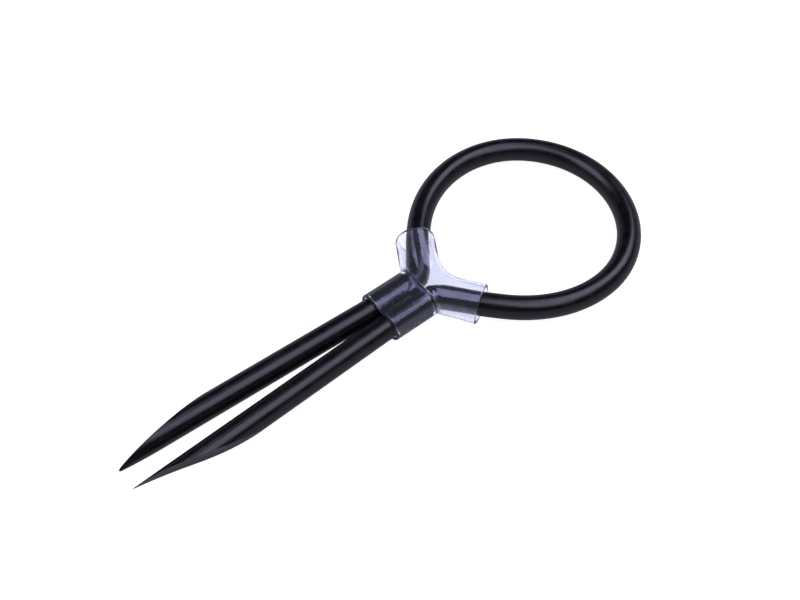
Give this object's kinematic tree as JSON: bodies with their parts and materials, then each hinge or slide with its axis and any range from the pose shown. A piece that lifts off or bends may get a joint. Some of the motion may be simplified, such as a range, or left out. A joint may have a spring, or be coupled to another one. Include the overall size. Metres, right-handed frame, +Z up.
{
  "type": "adjustable cord loop",
  "caption": "Round loop of solid rubber cord gathered by a clear soft Y-shaped sliding sleeve, with long bevelled tails; the loop closes as the sleeve slides towards it.",
  "frame": {"origin": "middle of the flat underside of the sleeve's collar", "axes": "+X from the tails to the loop, +Y to the left, +Z up off the surface that the object lies on"},
  "size_m": [0.1933, 0.0768, 0.0132],
  "materials": {
    "cord_rubber": "satin extruded rubber",
    "collar_vinyl": "clear soft vinyl with a faint blue tint, extruded",
    "branch_vinyl": "clear soft vinyl with a faint blue tint, moulded"
  },
  "bodies": {
    "cord": {"cord_bow": "cord_rubber", "cord_shoulder_left": "cord_rubber", "cord_shoulder_right": "cord_rubber", "cord_throat_left": "cord_rubber", "cord_throat_right": "cord_rubber"},
    "sleeve": {"collar_tube": "collar_vinyl", "branch_tube": "branch_vinyl"},
    "left_tail": {"tail_left": "cord_rubber"},
    "right_tail": {"tail_right": "cord_rubber"}
  },
  "joints": [
    {"name": "sleeve_slide", "type": "slide", "parent": "cord", "child": "sleeve", "axis": [1, 0, 0], "range_m": [0, 0.02], "deforming": ["cord_shoulder_left", "cord_shoulder_right"]},
    {"name": "left_tail_flex", "type": "hinge", "parent": "cord", "child": "left_tail", "pos_m": [-0.0101, 0.00415, 0.0052], "axis": [0, 0, -1], "range_deg": [-3, 25], "stiffness_Nm_per_rad": 0.03},
    {"name": "right_tail_flex", "type": "hinge", "parent": "cord", "child": "right_tail", "pos_m": [-0.0101, -0.00415, 0.0052], "axis": [0, 0, 1], "range_deg": [-1.5, 25], "stiffness_Nm_per_rad": 0.03}
  ]
}
